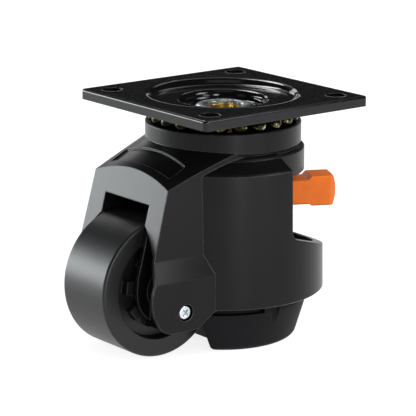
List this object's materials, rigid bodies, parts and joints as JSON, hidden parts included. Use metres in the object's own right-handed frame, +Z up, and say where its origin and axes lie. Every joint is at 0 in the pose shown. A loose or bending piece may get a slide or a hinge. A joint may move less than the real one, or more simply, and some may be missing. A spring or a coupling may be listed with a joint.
{
  "type": "levelling castor",
  "caption": "Swivel castor with a square bolt-on plate, a wheel in a hooded fork and a rubber foot that a ratchet lever screws down to lift and level the load.",
  "frame": {"origin": "centre of the four bolt holes, on the top face of the plate and on the swivel axis", "axes": "+Z up out of the plate, +X towards the wheel, +Y to the castor's left"},
  "size_m": [0.1241, 0.09, 0.109],
  "materials": {
    "plate_black": "satin black powder coat on pressed steel",
    "body_black": "satin black coat on die-cast light alloy",
    "yellow_zinc": "yellow passivated zinc on turned steel",
    "bright_zinc": "bluish bright zinc plate",
    "bearing_steel": "polished hardened steel with a film of grease",
    "dark_steel": "blackened steel",
    "spring_steel": "drawn spring wire",
    "bush_bronze": "sintered bronze",
    "wheel_nylon": "black nylon with a soft sheen",
    "natural_nylon": "natural nylon",
    "lever_orange": "orange moulded nylon",
    "foot_rubber": "moulded black rubber"
  },
  "bodies": {
    "plate": {"top_plate": "plate_black", "kingpin": "yellow_zinc", "kingpin_ring": "bright_zinc"},
    "housing": {"housing": "body_black", "head_race": "bearing_steel", "upper_balls": "bearing_steel", "lower_race": "bearing_steel", "lower_balls": "bearing_steel", "spindle_bush": "bush_bronze", "axle": "bright_zinc", "axle_keeper_left": "bright_zinc", "axle_keeper_right": "bright_zinc", "keeper_screw_left": "bright_zinc", "keeper_screw_right": "bright_zinc"},
    "wheel": {"wheel": "wheel_nylon", "wheel_bearing_left": "bearing_steel", "wheel_bearing_right": "bearing_steel", "wheel_sleeve": "bright_zinc", "wheel_spacer_left": "natural_nylon", "wheel_spacer_right": "natural_nylon"},
    "ratchet_nut": {"ratchet_nut": "dark_steel", "thrust_washer": "natural_nylon"},
    "foot": {"spindle": "yellow_zinc", "foot_plate": "bright_zinc", "foot_lock_nut": "bright_zinc", "foot_pad": "foot_rubber"},
    "carrier": {"carrier_body": "dark_steel", "carrier_cover": "dark_steel", "carrier_screws": "bright_zinc", "socket_cap": "dark_steel"},
    "lever_slider": {"spring_collar": "bright_zinc", "pull_spring": "spring_steel"},
    "lever": {"lever": "lever_orange", "pawl_tip": "dark_steel"}
  },
  "joints": [
    {"name": "swivel", "type": "hinge", "parent": "plate", "child": "housing", "pos_m": [0, 0, 0], "axis": [0, 0, 1], "continuous": true},
    {"name": "wheel_spin", "type": "hinge", "parent": "housing", "child": "wheel", "pos_m": [0.0455, 0, -0.078], "axis": [0, 1, 0], "continuous": true},
    {"name": "nut_turn", "type": "hinge", "parent": "housing", "child": "ratchet_nut", "pos_m": [0, 0, -0.045], "axis": [0, 0, 1], "range_deg": [-900, 1440]},
    {"name": "foot_lower", "type": "slide", "parent": "housing", "child": "foot", "axis": [0, 0, -1], "range_m": [-0.005, 0.008]},
    {"name": "lever_swing", "type": "hinge", "parent": "housing", "child": "carrier", "pos_m": [0, 0, -0.045], "axis": [0, 0, 1], "range_deg": [-36, 90]},
    {"name": "lever_pull", "type": "slide", "parent": "carrier", "child": "lever_slider", "axis": [-0.891, 0.454, 0], "range_m": [-0.002, 0.0008], "stiffness_N_per_m": 1500, "springref_m": -0.004, "deforming": ["pull_spring"]},
    {"name": "lever_flip", "type": "hinge", "parent": "lever_slider", "child": "lever", "pos_m": [0, 0, -0.045], "axis": [-0.891, 0.454, 0], "range_deg": [0, 180]}
  ],
  "couplings": [
    {"joint": "nut_turn", "follows": "foot_lower", "rad_per_m": 3141.6}
  ]
}
